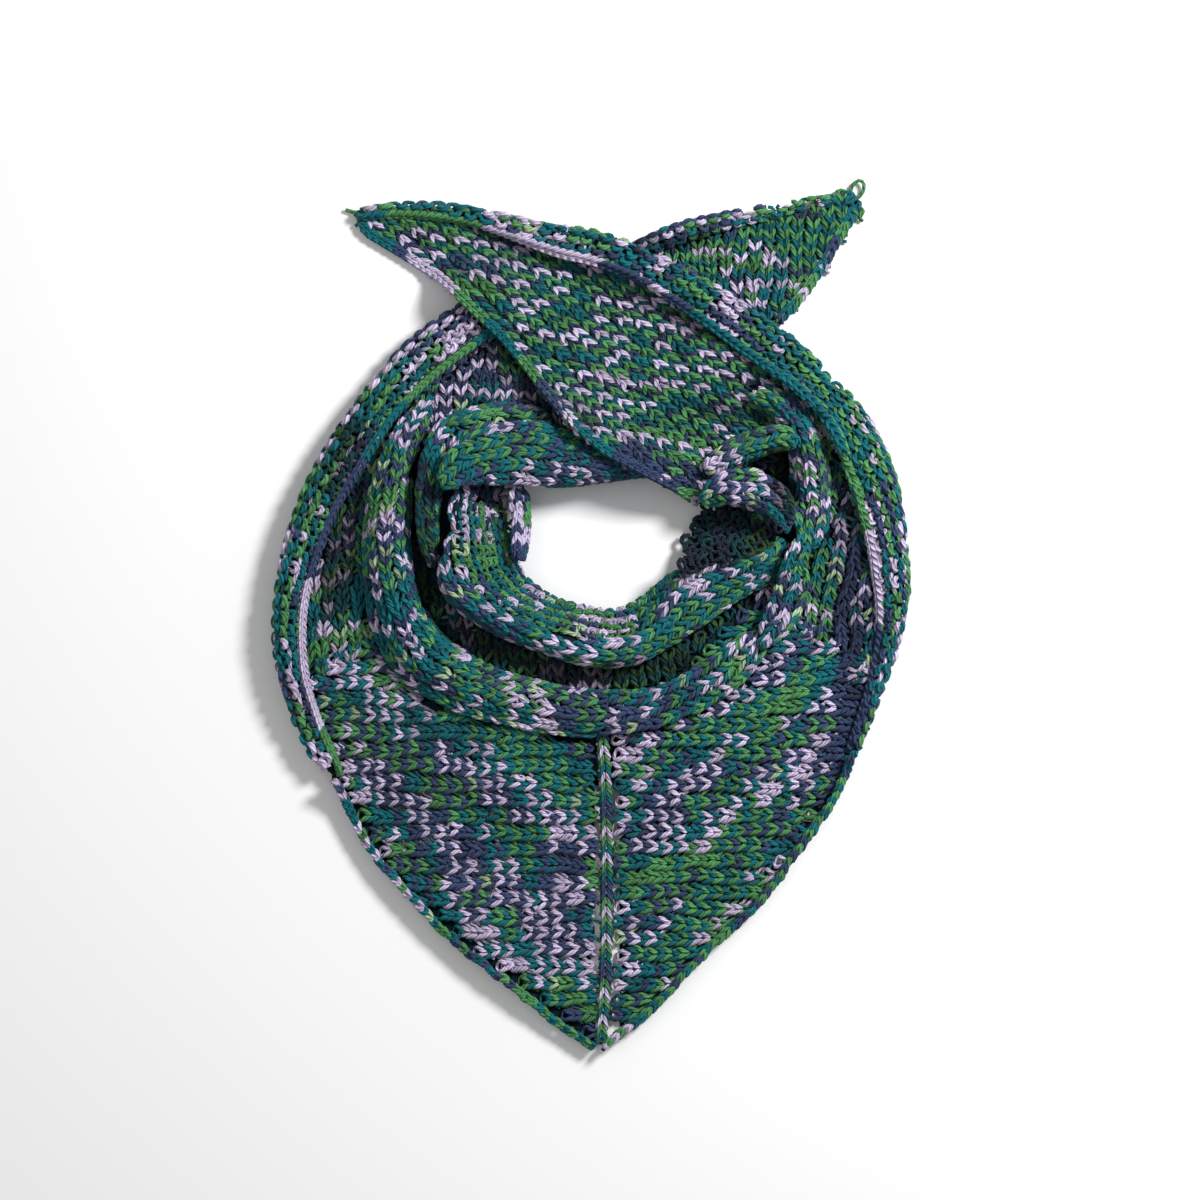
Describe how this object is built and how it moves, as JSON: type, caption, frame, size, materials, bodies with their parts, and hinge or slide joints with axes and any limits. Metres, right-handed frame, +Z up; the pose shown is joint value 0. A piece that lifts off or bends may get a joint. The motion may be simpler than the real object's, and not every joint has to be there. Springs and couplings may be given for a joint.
{
  "type": "triangle shawl",
  "caption": "Hand-knitted triangle shawl laid as worn: point in front, long edge folded into a collar round the neck opening, edges rolled, two tails crossed behind.",
  "frame": {"origin": "on the table under the middle of the shawl's outline", "axes": "+X to the right and +Y towards the crossed tails as it lies, the point towards -Y, +Z up from the table"},
  "size_m": [0.3814, 0.5225, 0.0442],
  "materials": {
    "cloth_teal": "matte cotton knit, variegated yarn",
    "cloth_shadow_teal": "matte cotton knit, variegated yarn",
    "cloth_green": "matte cotton knit, variegated yarn",
    "cloth_navy": "matte cotton knit, variegated yarn",
    "cloth_lavender": "matte cotton knit, variegated yarn"
  },
  "bodies": {
    "root": {"gathered_layers": "cloth_shadow_teal", "under_tail": "cloth_green", "front_panel": "cloth_teal", "left_rolled_edge": "cloth_green", "under_tail_rolled_edge": "cloth_lavender", "front_fold": "cloth_navy", "inner_fold": "cloth_navy", "inner_flap": "cloth_lavender", "collar": "cloth_teal", "collar_top": "cloth_navy", "neck_turning": "cloth_shadow_teal", "over_tail": "cloth_green", "right_fold": "cloth_green", "right_rolled_edge": "cloth_teal", "collar_twist": "cloth_lavender", "collar_tuck": "cloth_teal", "left_front_edge": "cloth_navy", "right_front_edge": "cloth_lavender", "tip_loop": "cloth_green"}
  },
  "joints": []
}
